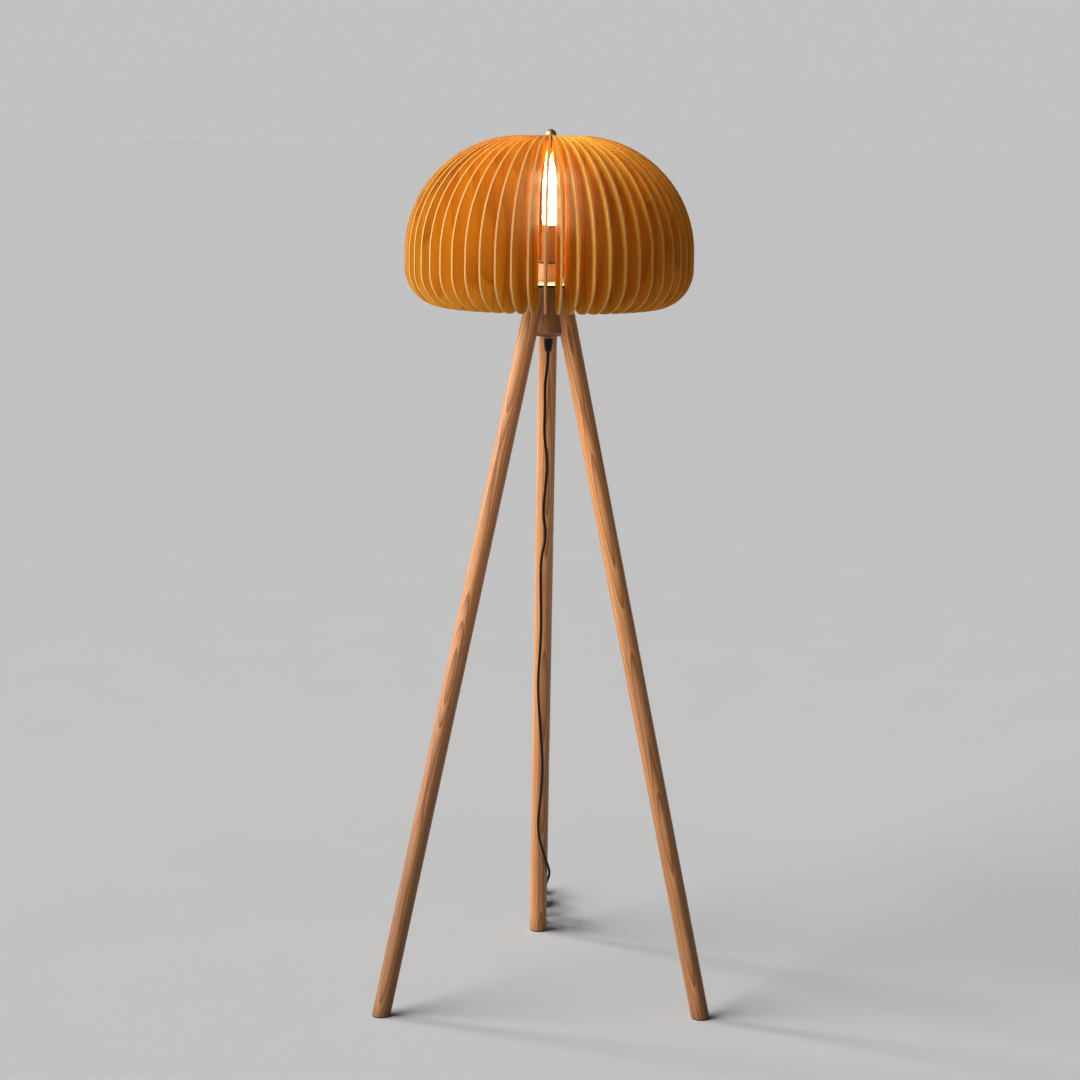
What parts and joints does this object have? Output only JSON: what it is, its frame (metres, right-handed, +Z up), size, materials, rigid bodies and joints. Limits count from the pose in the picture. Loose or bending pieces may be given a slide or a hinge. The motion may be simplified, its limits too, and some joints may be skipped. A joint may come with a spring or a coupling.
{
  "type": "tripod floor lamp",
  "caption": "Floor lamp on a splayed wooden tripod, with a round shade of upright veneer fins around a candle bulb, and a mains cord with an in-line switch and plug.",
  "frame": {"origin": "on the floor, at the centre of the lamp's footprint without its cord; the upright axis of the shade stands 44.5 mm towards -Y of it", "axes": "+Z up; +Y from the front towards the back leg; +X to the right as seen from the front"},
  "size_m": [0.5904, 0.8366, 1.5325],
  "materials": {
    "leg_wood": "clear oiled ash, satin",
    "hub_wood": "clear oiled ash, satin",
    "fin_veneer": "warm lacquered veneer ply, satin",
    "block_wood": "clear oiled, satin",
    "black_steel": "black powder coat",
    "finial_brass": "polished, lacquered",
    "zinc_steel": "zinc plated",
    "black_plastic": "fine matt",
    "cord_sheath": "smooth flexible sheath",
    "felt_pad": "pressed felt",
    "candle_card": "brown sleeve, satin",
    "holder_resin": "moulded, satin",
    "contact_brass": "plain",
    "bulb_glass": "warm white, lightly frosted",
    "bulb_metal": "plated",
    "led_strip": "phosphor coated",
    "tie_fabric": "woven hook and loop"
  },
  "bodies": {
    "lamp": {"leg_left": "leg_wood", "leg_back": "leg_wood", "leg_right": "leg_wood", "foot_pads": "felt_pad", "leg_screws": "zinc_steel", "hub": "hub_wood", "hub_dowels": "leg_wood", "lower_plate": "black_steel", "threaded_tube": "zinc_steel", "gland_collar": "finial_brass", "collar_grub": "black_steel", "cord_gland": "black_plastic", "feed_cord": "cord_sheath", "lamp_block": "block_wood", "block_ring": "black_steel", "tube_nut": "zinc_steel", "candle_sleeve": "candle_card", "lamp_holder": "holder_resin", "holder_shell": "contact_brass", "holder_contact": "contact_brass", "top_disc": "black_steel", "finial_stud": "black_steel", "stud_nut": "black_steel", "cord_main": "cord_sheath", "cord_hank": "cord_sheath", "cord_ties": "tie_fabric", "cord_tail": "cord_sheath", "cord_plug_lead": "cord_sheath", "switch_base": "black_plastic", "switch_cover": "black_plastic", "switch_contacts": "contact_brass", "plug_body": "black_plastic", "plug_pins": "zinc_steel", "shade_fins_1": "fin_veneer", "shade_fins_2": "fin_veneer", "shade_fins_3": "fin_veneer", "shade_fins_4": "fin_veneer", "shade_fins_5": "fin_veneer", "shade_fins_6": "fin_veneer", "shade_fins_7": "fin_veneer"},
    "bulb": {"bulb_tip": "bulb_metal", "bulb_cap": "bulb_metal", "bulb_glass": "bulb_glass", "bulb_strips": "led_strip", "bulb_stem": "bulb_glass"},
    "finial": {"finial": "finial_brass"},
    "rocker": {"switch_rocker": "black_plastic"}
  },
  "joints": [
    {"name": "bulb_turn", "type": "hinge", "parent": "lamp", "child": "bulb", "pos_m": [0, -0.0445, 1.34], "axis": [0, 0, 1], "continuous": true},
    {"name": "finial_turn", "type": "hinge", "parent": "lamp", "child": "finial", "pos_m": [0, -0.0445, 1.515], "axis": [0, 0, 1], "continuous": true},
    {"name": "rocker_tip", "type": "hinge", "parent": "lamp", "child": "rocker", "pos_m": [0.006, 0.4375, 0.015], "axis": [0, 0, 1], "range_deg": [0, 18]}
  ]
}
